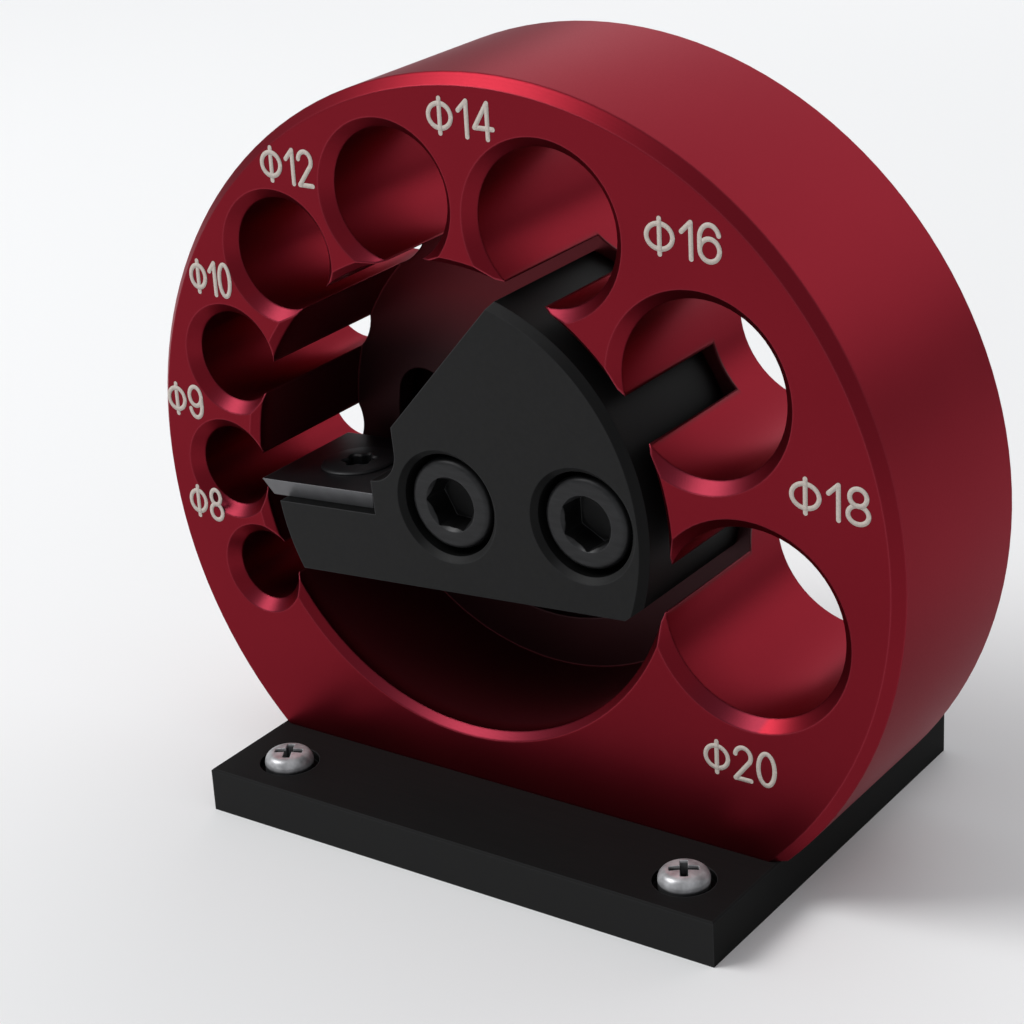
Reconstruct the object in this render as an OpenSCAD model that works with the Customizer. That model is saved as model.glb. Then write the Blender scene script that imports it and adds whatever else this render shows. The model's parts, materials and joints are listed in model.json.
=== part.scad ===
// Dowel making machine: a thick ring with a graded circle of dowel holes, on a
// screw-down base. A cutter head swings in the ring's eccentric pocket and
// brings one square insert to whichever hole is in use.
// Millimetres. +Z is up, the front face looks along -Y. The origin is at the
// centre of the underside of the base.

/* [Ring] */
// Outer diameter of the ring
ring_d = 90; // [88:0.5:96]
// Thickness of the ring, front face to back face
ring_t = 25; // [23.5:0.5:30]
// Height of the ring's centre above the flat cut on its underside
ring_flat = 31.5; // [30:0.5:34]
// Chamfer round the front and the back edge of the ring
ring_chamfer = 1.1; // [0.5:0.1:1.4]

/* [Pocket] */
// Radius of the circle that every dowel hole touches
hole_line_r = 25.2; // [24.2:0.1:25.6]
// How far the pocket's wall lies outside that circle
pocket_extra = 0.5; // [0.15:0.05:0.7]
// Depth of the pocket from the front face
pocket_depth = 18; // [17.5:0.1:18.6]
// Chamfer round the mouth of the pocket
pocket_chamfer = 0.8; // [0.4:0.1:1.2]
// Offset of the pocket's centre from the ring's centre, along X
pocket_x = -6; // [-6.4:0.1:-5]
// Offset of the pocket's centre from the ring's centre, along Z
pocket_z = -0.1; // [-0.5:0.1:0.6]

/* [Dowel holes] */
// Chamfer at the front mouth of each dowel hole
hole_chamfer = 1.2; // [0.6:0.1:1.3]
// Chamfer at the back mouth of each dowel hole
hole_back_chamfer = 1.2; // [0.3:0.1:1.3]

/* [Base] */
// Width of the base, along X
base_w = 63; // [60:0.5:70]
// Depth of the base, along Y
base_d = 50; // [48:0.5:60]
// Thickness of the base
base_t = 5; // [4.6:0.1:7]
// Bevel along the top edges of the base
base_bevel = 0.2; // [0.1:0.1:0.6]
// Distance of each bench screw from the side edge of the base
bench_side = 6.5; // [5:0.1:7]
// Distance of each bench screw from the front or back edge of the base
bench_end = 5.5; // [4.5:0.1:5.6]

/* [Bench screws] */
// Diameter of the recess for a bench screw's head
bench_recess_d = 6.5; // [6:0.1:7]
// Depth of the recess for a bench screw's head
bench_recess_depth = 1; // [1:0.1:2]
// Diameter of a bench screw's head
bench_head_d = 5.3; // [4.6:0.1:5.5]
// Height of a bench screw's domed head
bench_head_h = 2.4; // [1.8:0.1:2.6]
// Diameter of a bench screw's shank
bench_shank_d = 3; // [2.6:0.1:3.2]
// Radial gap round a bench screw's shank
bench_gap = 0.2; // [0.1:0.05:0.4]
// Length of each slot of the cross recess in a bench screw's head
cross_l = 2.6; // [2:0.1:3]
// Width of each slot of the cross recess
cross_w = 0.7; // [0.5:0.05:0.9]
// Depth of the cross recess
cross_depth = 1; // [0.6:0.1:1.2]
// Turn of the cross recess, seen from above
cross_turn = 20; // [0:5:45]

/* [Ring screws] */
// Distance between the ring screws along X
ring_screw_dx = 36; // [30:1:38]
// Distance between the ring screws along Y
ring_screw_dy = 12; // [10:1:14]
// Diameter of a ring screw's thread
ring_screw_d = 4; // [3:0.1:4.5]
// Diameter of a ring screw's countersunk head
ring_screw_head_d = 7.6; // [6.6:0.1:8.4]
// Overall length of a ring screw
ring_screw_l = 10; // [8:0.5:11]
// Distance of a ring screw's flat head above the underside of the base
ring_screw_sink = 0.2; // [0.1:0.05:0.5]

/* [Cutter head] */
// Angle of the arm at rest, from +X, anticlockwise from the front
rest_angle = 184; // [183.5:0.1:184.5]
// Gap between the insert's tip and the circle of the holes
tip_gap = 0.1; // [0.05:0.05:0.3]
// Height of the head's face in front of the ring's face
head_proud = 0.8; // [0.4:0.1:2]
// How far the head's round edge lies inside the circle of the insert's tip
head_setback = 1.2; // [0.7:0.1:1.7]
// Chamfer on the front of the head's round edge
head_chamfer = 0.8; // [0.4:0.1:1]
// Distance of the straight bottom edge below the pivot
head_bottom = 9.5; // [9:0.1:10]
// Distance of the straight wall above the arm from the pivot
wall_u = 5.9; // [5.6:0.1:6.4]
// Height of that wall's top corner above the pivot
wall_top = 8; // [7.5:0.1:10]
// Radius of the chip throat at the foot of that wall
throat_r = 3.4; // [2.8:0.1:3.6]
// Height of the throat's lowest line, above the cutting plane
ledge_v = 1.8; // [1.5:0.1:2.2]
// Angle of the head's top corner, from the arm's line
top_corner_angle = 69; // [66:0.5:71]
// Length that the corner bevel takes off the bottom edge
corner_bevel = 1.3; // [0.8:0.1:2]
// Slope of the corner bevel
corner_bevel_angle = 35; // [25:1:45]

/* [Insert] */
// Side of the square insert
insert_side = 15; // [14.6:0.1:15.2]
// Thickness of the insert
insert_t = 2; // [1.6:0.1:2.4]
// Relief angle of the insert's four flanks
insert_relief = 20; // [10:1:25]
// How far the insert lies behind the head's face
insert_back = 0.7; // [0.4:0.1:1.2]
// Gap between the insert and the wall of its seat
insert_gap = 0.6; // [0.3:0.1:0.9]
// How far the foot of the insert overhangs the end of the arm
insert_overhang = 1.9; // [1.2:0.1:2.4]
// Diameter of the insert screw's head
insert_head_d = 8.4; // [7.4:0.1:9]
// Diameter of the six-lobed recess in that head
lobe_circle_d = 3.6; // [3:0.1:4.2]
// Depth of the six-lobed recess
lobe_depth = 1.6; // [1:0.1:2]
// How far the insert screw's head stands above the insert
insert_head_proud = 0.35; // [0.2:0.05:0.6]
// Diameter of the insert screw's thread
insert_screw_d = 5; // [4:0.1:5]
// Length of the insert screw below the insert's top
insert_screw_l = 6; // [5:0.5:6.5]

/* [Cap screws] */
// Distance of the clamp screw from the pivot screw
clamp_r = 16.6; // [16:0.1:16.9]
// Diameter of the thread and shank of both cap screws
cap_d = 6; // [5:0.1:6]
// Diameter of a cap screw's head
cap_head_d = 10; // [9.6:0.1:10.2]
// Height of a cap screw's head
cap_head_h = 6; // [5:0.1:6.2]
// Length of a cap screw under its head
cap_l = 17; // [16.5:0.1:17.2]
// Width across the flats of the hex socket
cap_hex = 5; // [4:0.5:6]
// Depth of the hex socket
cap_hex_depth = 3; // [2:0.1:4]
// Turn of the pivot screw's socket
pivot_hex_turn = 5; // [0:1:59]
// Turn of the clamp screw's socket
clamp_hex_turn = 33; // [0:1:59]
// Distance of a cap screw's head below the face of the head
cap_sink = 0.7; // [0.4:0.1:1.2]
// Diameter of the counterbores
counterbore_d = 11.2; // [11:0.1:11.6]
// Chamfer at the mouth of the counterbores
counterbore_chamfer = 0.6; // [0.3:0.1:0.7]
// Distance that each cap screw backs off in one full turn
thread_pitch = 1; // [0.8:0.05:1]

/* [Washers] */
// Outer diameter of a spring washer
lock_washer_d = 9.8; // [9:0.1:10]
// Thickness of a spring washer
lock_washer_t = 1.6; // [1.2:0.1:1.8]
// Width of the split in a spring washer
lock_washer_split = 1; // [0.6:0.1:1.4]
// Outer diameter of a flat washer
flat_washer_d = 10.9; // [10:0.1:10.9]
// Thickness of a flat washer
flat_washer_t = 1; // [0.8:0.1:1.2]

/* [Arc slot] */
// Thickness of the floor left in front of the nut's channel
web_t = 2.4; // [2:0.1:2.5]
// Radial width of the slide nut
nut_w = 10; // [9:0.1:10.4]
// Thickness of the slide nut
nut_t = 3; // [2.6:0.1:3.2]
// Angle from the clamp screw to the centre of the nut's round ends
nut_half_angle = 13; // [9:0.5:15]
// Middle of the window in the back through which the nut goes in, as an
// angle from +X
entry_angle = 51; // [46:1:56]

/* [Fits] */
// Radial play of a thread or a pivot in its hole
running_play = 0.05; // [0.03:0.01:0.08]
// Gap between faces that slide past each other
slide_play = 0.1; // [0.06:0.01:0.15]
// Radial gap round a shank that passes freely through a hole
free_play = 0.3; // [0.2:0.05:0.35]
// Gap between parts that are screwed together by hand
seat_play = 0.1; // [0.05:0.01:0.15]

/* [Hidden] */
$fn = 96;
eps = 0.01;
// How far a cut runs past the surface that it opens
over = 1;
band_end_extra = 0.02;
// How far a blind tapped hole runs past its screw
tap_extra = 1;

// The eight dowel holes: diameter, and angle about the pocket's centre
HOLES = [[20, -10], [18, 29.8], [16, 67.4], [14, 100.4], [12, 130.5], [10, 158.1], [9, 183], [8, 205.8]];
first_hole_angle = HOLES[0][1];
last_hole_angle = HOLES[7][1];

ring_r = ring_d / 2;
ring_z = base_t + ring_flat;
front_y = -ring_t / 2;
back_y = ring_t / 2;
pocket_r = hole_line_r + pocket_extra;
pocket_cz = ring_z + pocket_z;
floor_y = front_y + pocket_depth;

// The head's own frame: u runs from the pivot away from the arm, v is square
// to it, and y is the depth. All of the head is drawn in it.
head_turn = rest_angle - 180;
tip_r = hole_line_r - tip_gap;
head_r = tip_r - head_setback;
face_y = front_y - head_proud;
head_back_y = floor_y - slide_play;
seat_v = -insert_t;
insert_left = -tip_r;
insert_right = insert_left + insert_side;
insert_mid = insert_left + insert_side / 2;
insert_front_y = face_y + insert_back;
insert_mid_y = insert_front_y + insert_side / 2;
// Height of the rim of the insert screw's head
insert_rim = insert_head_proud / 2;
relief_inset = insert_t * tan(insert_relief);
recess_u = insert_right + insert_gap;
arm_r = tip_r - relief_inset - insert_overhang;

cap_top_y = face_y + cap_sink;
cap_seat_y = cap_top_y + cap_head_h;
flat_washer_y = cap_seat_y + lock_washer_t;
counterbore_y = flat_washer_y + flat_washer_t;
cap_end_y = cap_seat_y + cap_l;

// The clamp screw's way round the floor, as angles from +X
clamp_rest_angle = head_turn;
slot_high_angle = clamp_rest_angle + (last_hole_angle - rest_angle);
slot_low_angle = clamp_rest_angle + (first_hole_angle - rest_angle);
slot_r = cap_d / 2 + free_play;
channel_y = floor_y + web_t;
channel_r = nut_w / 2 + free_play;
nut_y = channel_y + slide_play;
channel_end_y = nut_y + nut_t + seat_play;

bench_x = base_w / 2 - bench_side;
bench_y = base_d / 2 - bench_end;

// A shape drawn as seen from the front, taken from depth y0 back to depth y1
module through(y0, y1) {
  translate([0, y1, 0])
    rotate([90, 0, 0])
      linear_extrude(height = y1 - y0)
        children();
}

// A round bar along Y
module bar(r, y0, y1) {
  translate([0, y1, 0])
    rotate([90, 0, 0])
      cylinder(h = y1 - y0, r = r);
}

// A cone along Y: radius r0 at depth y0, radius r1 at depth y1
module taper(r0, r1, y0, y1) {
  translate([0, y1, 0])
    rotate([90, 0, 0])
      cylinder(h = y1 - y0, r1 = r1, r2 = r0);
}

// The cutter of a chamfer of size c round a hole of radius r whose mouth is at
// depth y; side is -1 for a mouth that faces the front, 1 for the back
module mouth_chamfer(r, c, y, side) {
  if (side < 0) taper(r + c + over, r, y - over, y + c);
  else taper(r, r + c + over, y - c, y + over);
}

module at_ring() {
  translate([0, 0, ring_z]) children();
}

module at_pocket() {
  translate([pocket_x, 0, pocket_cz]) children();
}

module at_head() {
  at_pocket() rotate([0, -head_turn, 0]) children();
}

module at_clamp() {
  at_head() translate([clamp_r, 0, 0]) children();
}

// Moves to the place of one dowel hole
module at_hole(hole) {
  at_pocket()
    rotate([0, -hole[1], 0])
      translate([hole_line_r + hole[0] / 2, 0, 0])
        children();
}

// A band of half width r that follows the clamp screw's circle from angle a0
// to angle a1, with round ends a hair wider than the band
module arc_band(r, a0, a1) {
  pie_r = 2 * (clamp_r + r);
  steps = 8;
  difference() {
    intersection() {
      circle(clamp_r + r);
      polygon(concat(
        [[0, 0]],
        [for (i = [0:steps]) pie_r * [cos(a0 + (a1 - a0) * i / steps), sin(a0 + (a1 - a0) * i / steps)]]
      ));
    }
    circle(clamp_r - r);
  }
  for (a = [a0, a1])
    rotate(a)
      translate([clamp_r, 0])
        circle(r + band_end_extra);
}

// The disc that the ring is cut from, with both edges chamfered
module ring_disc() {
  at_ring() {
    taper(ring_r - ring_chamfer, ring_r, front_y, front_y + ring_chamfer);
    bar(ring_r, front_y + ring_chamfer, back_y - ring_chamfer);
    taper(ring_r, ring_r - ring_chamfer, back_y - ring_chamfer, back_y);
  }
}

module dowel_hole(hole) {
  r = hole[0] / 2;
  at_hole(hole) {
    bar(r, front_y - over, back_y + over);
    mouth_chamfer(r, hole_chamfer, front_y, -1);
    mouth_chamfer(r, hole_back_chamfer, back_y, 1);
  }
}

// The places of the four screws that hold the ring to the base
module at_ring_screw(side, end) {
  translate([side * ring_screw_dx / 2, end * ring_screw_dy / 2, 0]) children();
}

module ring_housing() {
  color("firebrick")
    difference() {
      ring_disc();
      translate([-ring_d, -ring_d, base_t - ring_d])
        cube([2 * ring_d, 2 * ring_d, ring_d]);
      at_pocket() {
        bar(pocket_r, front_y - over, floor_y);
        mouth_chamfer(pocket_r, pocket_chamfer, front_y, -1);
        bar(cap_d / 2 + running_play, floor_y - eps, back_y + over);
        through(floor_y - over, channel_y + eps)
          arc_band(slot_r, slot_low_angle, slot_high_angle);
        through(channel_y, channel_end_y)
          arc_band(channel_r, slot_low_angle - nut_half_angle, entry_angle + nut_half_angle);
        through(channel_end_y - eps, back_y + over)
          arc_band(channel_r - seat_play, entry_angle - nut_half_angle, entry_angle + nut_half_angle);
      }
      for (hole = HOLES) dowel_hole(hole);
      for (side = [-1, 1], end = [-1, 1])
        at_ring_screw(side, end)
          translate([0, 0, base_t - over])
            cylinder(h = ring_screw_l + over + tap_extra - base_t, r = ring_screw_d / 2 + running_play);
    }
}

// The cut that bevels one top edge of the base, along X
module edge_bevel(length) {
  rotate([45, 0, 0])
    cube([length, base_bevel * sqrt(2), base_bevel * sqrt(2)], center = true);
}

module base_plate() {
  cone_r = ring_screw_head_d / 2 + ring_screw_sink + seat_play;
  color([0.15, 0.15, 0.16])
    difference() {
      translate([-base_w / 2, -base_d / 2, 0])
        cube([base_w, base_d, base_t]);
      for (end = [-1, 1])
        translate([0, end * base_d / 2, base_t])
          edge_bevel(base_w + over);
      for (side = [-1, 1])
        translate([side * base_w / 2, 0, base_t])
          rotate([0, 0, 90])
            edge_bevel(base_d + over);
      for (side = [-1, 1], end = [-1, 1]) {
        translate([side * bench_x, end * bench_y, 0]) {
          translate([0, 0, -over])
            cylinder(h = base_t + 2 * over, r = bench_shank_d / 2 + bench_gap);
          translate([0, 0, base_t - bench_recess_depth])
            cylinder(h = bench_recess_depth + over, r = bench_recess_d / 2);
        }
        at_ring_screw(side, end) {
          translate([0, 0, -over])
            cylinder(h = base_t + 2 * over, r = ring_screw_d / 2 + free_play);
          translate([0, 0, -over])
            cylinder(h = cone_r + over, r1 = cone_r + over, r2 = 0);
        }
      }
    }
}

// A countersunk screw that points up, with its flat head just inside the base
module ring_screw(side, end) {
  rim_r = ring_screw_head_d / 2;
  shank_r = ring_screw_d / 2;
  color("dimgray")
    at_ring_screw(side, end)
      translate([0, 0, ring_screw_sink])
        difference() {
          union() {
            cylinder(h = rim_r - shank_r, r1 = rim_r, r2 = shank_r);
            cylinder(h = ring_screw_l, r = shank_r);
          }
          translate([0, 0, -over])
            cylinder(h = over + ring_screw_d / 3, d = ring_screw_d / 2 * 2 / sqrt(3), $fn = 6);
        }
}

// A domed cross-recess screw that points down and ends just inside the base
module bench_screw(side, end) {
  head_z = base_t - bench_recess_depth;
  rim_h = bench_head_h / 2;
  dome_h = bench_head_h - rim_h;
  rim_r = bench_head_d / 2;
  dome_r = (rim_r * rim_r + dome_h * dome_h) / (2 * dome_h);
  tip_gap_z = 3 * seat_play;
  color("silver")
    translate([side * bench_x, end * bench_y, 0])
      difference() {
        union() {
          translate([0, 0, head_z])
            cylinder(h = rim_h, r = rim_r);
          translate([0, 0, head_z + rim_h])
            intersection() {
              cylinder(h = dome_h, r = rim_r);
              translate([0, 0, dome_h - dome_r])
                sphere(r = dome_r);
            }
          translate([0, 0, tip_gap_z])
            cylinder(h = head_z - tip_gap_z + eps, r = bench_shank_d / 2);
        }
        for (turn = [0, 90])
          rotate([0, 0, turn + cross_turn])
            translate([-cross_l / 2, -cross_w / 2, head_z + bench_head_h - cross_depth])
              cube([cross_l, cross_w, cross_depth + over]);
      }
}

// The head's outline in its own frame, before its round edge is cut
module head_outline() {
  top = [head_r * cos(top_corner_angle), head_r * sin(top_corner_angle)];
  far = 1.4 * head_r;
  bevel_u = sqrt(head_r * head_r - head_bottom * head_bottom) - corner_bevel;
  throat_u = -wall_u - throat_r;
  throat_v = ledge_v + throat_r;
  difference() {
    polygon([
      [-wall_u, wall_top],
      top,
      far / head_r * top,
      [far, far],
      [far, (far - bevel_u) * tan(corner_bevel_angle) - head_bottom],
      [bevel_u, -head_bottom],
      [-far, -head_bottom],
      [-far, seat_v],
      [recess_u, seat_v],
      [recess_u, ledge_v],
      [throat_u, ledge_v],
      [throat_u, throat_v],
      [-wall_u, throat_v]
    ]);
    // Concave foot of the wall above the ledge
    translate([throat_u, throat_v])
      circle(throat_r);
    // Round end of the arm
    difference() {
      translate([-far - over, -far])
        square([far, 2 * far]);
      circle(arm_r);
    }
  }
}

module cap_screw_hole(r) {
  bar(r, counterbore_y - eps, head_back_y + over);
  bar(counterbore_d / 2, face_y - over, counterbore_y);
  mouth_chamfer(counterbore_d / 2, counterbore_chamfer, face_y, -1);
}

module cutter_carrier() {
  color([0.12, 0.12, 0.12])
    at_head()
      difference() {
        intersection() {
          through(face_y, head_back_y) head_outline();
          union() {
            taper(head_r - head_chamfer, head_r, face_y, face_y + head_chamfer);
            bar(head_r, face_y + head_chamfer, head_back_y);
          }
        }
        cap_screw_hole(cap_d / 2 + running_play);
        translate([clamp_r, 0, 0]) cap_screw_hole(cap_d / 2 + free_play);
        translate([insert_mid, insert_mid_y, -insert_screw_l - tap_extra])
          cylinder(h = insert_screw_l + tap_extra, r = insert_screw_d / 2 + running_play);
      }
}

// A square insert with the same relief on its four sides
module insert_blank() {
  low = insert_side / 2 - relief_inset;
  high = insert_side / 2;
  flank = [[-low, -insert_t], [low, -insert_t], [high, 0], [-high, 0]];
  intersection() {
    through(-high, high) polygon(flank);
    rotate([0, 0, 90]) through(-high, high) polygon(flank);
  }
}

module carbide_insert() {
  cone_r = insert_head_d / 2 + insert_rim + seat_play;
  color([0.35, 0.35, 0.37])
    at_head()
      translate([insert_mid, insert_mid_y, 0])
        difference() {
          insert_blank();
          translate([0, 0, -insert_t - over])
            cylinder(h = insert_t + 2 * over, r = insert_screw_d / 2 + seat_play);
          translate([0, 0, insert_head_proud - cone_r])
            cylinder(h = cone_r + over, r1 = 0, r2 = cone_r + over);
        }
}

module insert_screw() {
  rim_r = insert_head_d / 2;
  shank_r = insert_screw_d / 2;
  rim = insert_rim;
  lobe_d = lobe_circle_d / 3;
  color([0.2, 0.2, 0.21])
    at_head()
      translate([insert_mid, insert_mid_y, 0])
        difference() {
          union() {
            translate([0, 0, insert_head_proud - rim])
              cylinder(h = rim, r1 = rim_r, r2 = rim_r - rim);
            translate([0, 0, insert_head_proud - rim - rim_r + shank_r])
              cylinder(h = rim_r - shank_r, r1 = shank_r, r2 = rim_r);
            translate([0, 0, -insert_screw_l])
              cylinder(h = insert_screw_l, r = shank_r);
          }
          translate([0, 0, insert_head_proud - lobe_depth]) {
            cylinder(h = lobe_depth + over, d = lobe_circle_d - lobe_d / 2);
            for (i = [0:5])
              rotate([0, 0, 60 * i])
                translate([(lobe_circle_d - lobe_d) / 2, 0, 0])
                  cylinder(h = lobe_depth + over, d = lobe_d, $fn = 24);
          }
        }
}

// A socket head cap screw whose axis is the Y axis
module cap_screw(hex_turn) {
  rim_r = cap_head_d / 2;
  edge = cap_head_d / 20;
  tip = cap_d / 8;
  difference() {
    union() {
      taper(rim_r - edge, rim_r, cap_top_y, cap_top_y + edge);
      bar(rim_r, cap_top_y + edge, cap_seat_y);
      bar(cap_d / 2, cap_seat_y - eps, cap_end_y - tip);
      taper(cap_d / 2, cap_d / 2 - tip, cap_end_y - tip, cap_end_y);
    }
    rotate([0, hex_turn, 0])
      translate([0, cap_top_y + cap_hex_depth, 0])
        rotate([90, 0, 0])
          cylinder(h = cap_hex_depth + over, d = cap_hex * 2 / sqrt(3), $fn = 6);
  }
}

// A split spring washer under a cap screw's head
module spring_washer() {
  split_half = lock_washer_split / 2;
  difference() {
    bar(lock_washer_d / 2, cap_seat_y, flat_washer_y);
    bar(cap_d / 2 + seat_play, cap_seat_y - over, flat_washer_y + over);
    translate([0, cap_seat_y - over, -split_half])
      cube([lock_washer_d, lock_washer_t + 2 * over, 2 * split_half]);
  }
}

module flat_washer() {
  difference() {
    bar(flat_washer_d / 2, flat_washer_y, counterbore_y);
    bar(cap_d / 2 + free_play, flat_washer_y - over, counterbore_y + over);
  }
}

module pivot_screw() {
  color([0.1, 0.1, 0.1]) at_head() cap_screw(pivot_hex_turn);
}

module pivot_spring_washer() {
  color("gray") at_head() spring_washer();
}

module pivot_flat_washer() {
  color("silver") at_head() flat_washer();
}

module clamp_screw() {
  color([0.1, 0.1, 0.1]) at_clamp() cap_screw(clamp_hex_turn);
}

module clamp_spring_washer() {
  color("gray") at_clamp() spring_washer();
}

module clamp_flat_washer() {
  color("silver") at_clamp() flat_washer();
}

// A curved nut that follows the channel inside the floor
module slide_nut() {
  color("darkgray")
    at_head()
      difference() {
        through(nut_y, nut_y + nut_t)
          arc_band(nut_w / 2, -nut_half_angle, nut_half_angle);
        translate([clamp_r, 0, 0])
          bar(cap_d / 2 + running_play, nut_y - over, nut_y + nut_t + over);
      }
}

ring_housing();
base_plate();
ring_screw(-1, -1);  // ring_screw_front_left
ring_screw(1, -1);  // ring_screw_front_right
ring_screw(-1, 1);  // ring_screw_rear_left
ring_screw(1, 1);  // ring_screw_rear_right
bench_screw(-1, -1);  // bench_screw_front_left
bench_screw(1, -1);  // bench_screw_front_right
bench_screw(-1, 1);  // bench_screw_rear_left
bench_screw(1, 1);  // bench_screw_rear_right
cutter_carrier();
carbide_insert();
insert_screw();
pivot_screw();
pivot_spring_washer();
pivot_flat_washer();
clamp_screw();
clamp_spring_washer();
clamp_flat_washer();
slide_nut();
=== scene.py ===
# %% [markdown]
# A dowel making machine, dressed in Blender
#
# The machine is a thick red ring that stands on a black base. Eight holes of rising size run through the
# ring, and a black head with a square carbide insert swings in a round pocket between them. What is turned
# and fed through one of the holes comes out round, and as thick as the number beside the hole says.
#
# The shapes come ready made, as a frame of solid parts in metres. What is left for this lesson is what the
# solids lack: the finishes of the metals, the sizes marked on the face, and the screws in full detail.
# Every part sits at the origin with its place in its mesh, so a finish can measure straight from the frame.

import json
import math

import bmesh
import bpy
from mathutils import Matrix, Vector

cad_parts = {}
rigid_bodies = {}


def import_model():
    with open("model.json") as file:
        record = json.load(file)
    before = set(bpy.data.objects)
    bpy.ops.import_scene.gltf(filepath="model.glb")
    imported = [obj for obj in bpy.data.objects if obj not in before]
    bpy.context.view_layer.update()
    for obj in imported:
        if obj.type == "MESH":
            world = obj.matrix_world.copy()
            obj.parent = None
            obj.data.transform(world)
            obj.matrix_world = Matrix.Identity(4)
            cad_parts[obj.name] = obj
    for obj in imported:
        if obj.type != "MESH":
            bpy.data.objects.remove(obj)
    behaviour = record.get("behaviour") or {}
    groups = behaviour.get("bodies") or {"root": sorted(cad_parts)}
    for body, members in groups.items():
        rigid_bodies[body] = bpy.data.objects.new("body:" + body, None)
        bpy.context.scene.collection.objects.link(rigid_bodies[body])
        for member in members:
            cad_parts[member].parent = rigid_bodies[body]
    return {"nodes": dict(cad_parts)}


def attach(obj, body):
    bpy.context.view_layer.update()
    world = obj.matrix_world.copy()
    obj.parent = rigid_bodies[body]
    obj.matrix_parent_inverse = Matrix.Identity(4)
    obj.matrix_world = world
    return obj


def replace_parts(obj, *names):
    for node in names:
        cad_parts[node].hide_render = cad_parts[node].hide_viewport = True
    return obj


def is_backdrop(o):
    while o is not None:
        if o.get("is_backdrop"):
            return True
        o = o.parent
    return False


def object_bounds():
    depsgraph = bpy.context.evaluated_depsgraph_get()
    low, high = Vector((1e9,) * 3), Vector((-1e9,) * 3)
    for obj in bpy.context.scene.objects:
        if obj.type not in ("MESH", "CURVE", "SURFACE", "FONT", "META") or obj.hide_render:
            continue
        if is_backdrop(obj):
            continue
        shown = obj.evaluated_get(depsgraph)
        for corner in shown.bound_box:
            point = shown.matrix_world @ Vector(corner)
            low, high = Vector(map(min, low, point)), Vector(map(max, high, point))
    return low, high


for spare in list(bpy.data.objects):
    bpy.data.objects.remove(spare)

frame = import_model()
solid_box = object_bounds()
scene = bpy.context.scene
parts = frame["nodes"]
print("parts in the frame:", ", ".join(sorted(parts)))

# %% [markdown]
# A maker thinks in millimetres, and Blender works in metres here. One helper turns the first into the
# second. The places below are the ones that the finishes and the new pieces need, and they repeat the
# solids: the middle of the ring, its front and back faces, the middle of the pocket and its floor, and the
# angle at which the cutter head stands.

# %% Sizes that the pieces share
def mm(length):
    return length / 1000


RING_MIDDLE = Vector((0, 0, mm(36.5)))
RING_FACE_Y = -mm(12.5)
RING_BACK_Y = mm(12.5)
POCKET_FLOOR_Y = mm(5.5)
POCKET_MIDDLE = Vector((mm(-6.0), 0, mm(36.4)))
HEAD_TURN = math.radians(4)
FULL_TURN = 2 * math.pi
print("the ring's middle is", round(RING_MIDDLE.z * 1000, 1), "mm above the ground")

# %% [markdown]
# A small product is photographed from close by. Here the camera stands 28 cm from the point it aims at,
# with a long lens that fills the frame with the ring. It is placed by that point, by how far it stands
# back, and by three angles: round the object, above it, and the small tilt of the frame.

# %% Place the camera
CAMERA_AIM = Vector((mm(-7.361), 0, mm(30.543)))
CAMERA_DISTANCE = mm(278.64)
CAMERA_ROUND = math.radians(35.83)
CAMERA_ABOVE = math.radians(23.04)
CAMERA_TILT = math.radians(-3.336)


def direction(turn, rise):
    """The unit vector that points from the object, turn round it from the front and rise above the ground."""
    return Vector((math.sin(turn) * math.cos(rise), -math.cos(turn) * math.cos(rise), math.sin(rise)))


camera = bpy.data.objects.new("camera", bpy.data.cameras.new("camera"))
scene.collection.objects.link(camera)
camera.data.lens = 91.67
camera.data.sensor_width = 36
camera.data.clip_start = mm(10)
camera.data.clip_end = 20
stand = CAMERA_AIM + direction(CAMERA_ROUND, CAMERA_ABOVE) * CAMERA_DISTANCE
facing = direction(CAMERA_ROUND, CAMERA_ABOVE).to_track_quat("Z", "Y").to_matrix().to_4x4()
camera.matrix_world = Matrix.Translation(stand) @ facing @ Matrix.Rotation(CAMERA_TILT, 4, "Z")
scene.camera = camera
print("camera at", [round(v * 1000) for v in stand], "mm")

# %% [markdown]
# Nodes can be wired by hand, but a formula reads better than a row of boxes. Two small classes let the
# script write formulas. A Wire is one output of a node, and plain arithmetic on it adds the Math nodes. A
# Graph adds any other node by its type, its settings, and the values or wires of its sockets.

# %% Wires and graphs
class Wire:
    """One output of a node. Adding, subtracting or multiplying it makes the Math nodes."""

    def __init__(self, graph, socket):
        self.graph = graph
        self.socket = socket

    def count(self, operation, first, second):
        return self.graph.node("Math", {"operation": operation}, {0: first, 1: second})

    def __add__(self, other):
        return self.count("ADD", self, other)

    def __radd__(self, other):
        return self.count("ADD", other, self)

    def __sub__(self, other):
        return self.count("SUBTRACT", self, other)

    def __rsub__(self, other):
        return self.count("SUBTRACT", other, self)

    def __mul__(self, other):
        return self.count("MULTIPLY", self, other)

    def __rmul__(self, other):
        return self.count("MULTIPLY", other, self)

    def __abs__(self):
        return self.count("ABSOLUTE", self, 0.0)


class Graph:
    """Nodes that are added one at a time, with what their sockets take."""

    prefix = "ShaderNode"

    def __init__(self, tree):
        self.tree = tree
        self.tree.nodes.clear()

    def node(self, kind, settings=None, values=None, output=0):
        made = self.tree.nodes.new(kind if "Node" in kind else self.prefix + kind)
        for name, value in (settings or {}).items():
            setattr(made, name, value)
        for name, value in (values or {}).items():
            if isinstance(value, Wire):
                self.tree.links.new(value.socket, made.inputs[name])
            else:
                made.inputs[name].default_value = value
        if not made.outputs:
            return made
        return Wire(self, made.outputs[output])


print("formulas can now be written on wires")

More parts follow.
